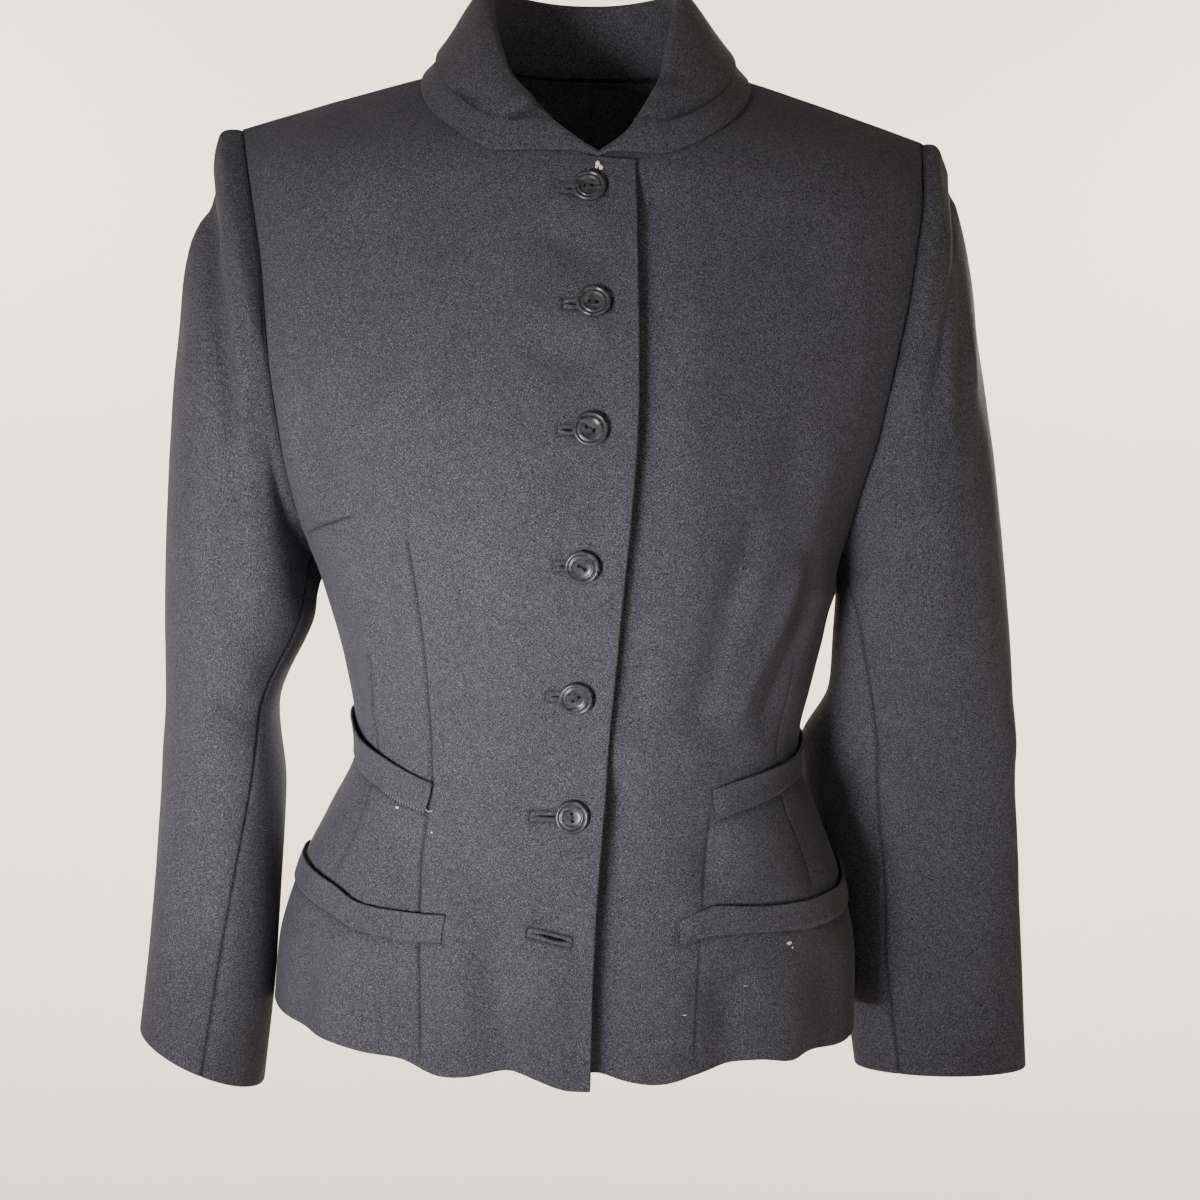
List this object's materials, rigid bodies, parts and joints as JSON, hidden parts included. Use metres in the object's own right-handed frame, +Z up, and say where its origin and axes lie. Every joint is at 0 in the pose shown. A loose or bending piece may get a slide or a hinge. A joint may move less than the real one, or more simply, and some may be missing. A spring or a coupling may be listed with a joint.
{
  "type": "riding jacket",
  "caption": "Fitted single-breasted wool riding jacket in its worn form, with a rolled collar on an edge band, two-piece sleeves, waist and hip welts and bound buttonholes.",
  "frame": {"origin": "centre of the neck base, level with the neck ends of the shoulder seams, where the wearer's shoulders hold the jacket up", "axes": "+Z up, the front faces -Y, +X towards the wearer's left"},
  "size_m": [0.5659, 0.2495, 0.6803],
  "materials": {
    "wool": "matte, lightly napped wool",
    "button": "satin, turned horn"
  },
  "bodies": {
    "root": {"front_right": "wool", "front_left": "wool", "back_right": "wool", "back_left": "wool", "sleeve_right_top": "wool", "sleeve_right_under": "wool", "sleeve_left_top": "wool", "sleeve_left_under": "wool", "collar": "wool", "collar_band": "wool", "waist_welt_right": "wool", "waist_welt_left": "wool", "hip_welt_right": "wool", "hip_welt_left": "wool", "buttonhole_1": "wool", "buttonhole_2": "wool", "buttonhole_3": "wool", "buttonhole_4": "wool", "buttonhole_5": "wool", "buttonhole_6": "wool", "buttonhole_7": "wool", "button_1": "button", "button_2": "button", "button_3": "button", "button_4": "button", "button_5": "button", "button_6": "button"}
  },
  "joints": []
}
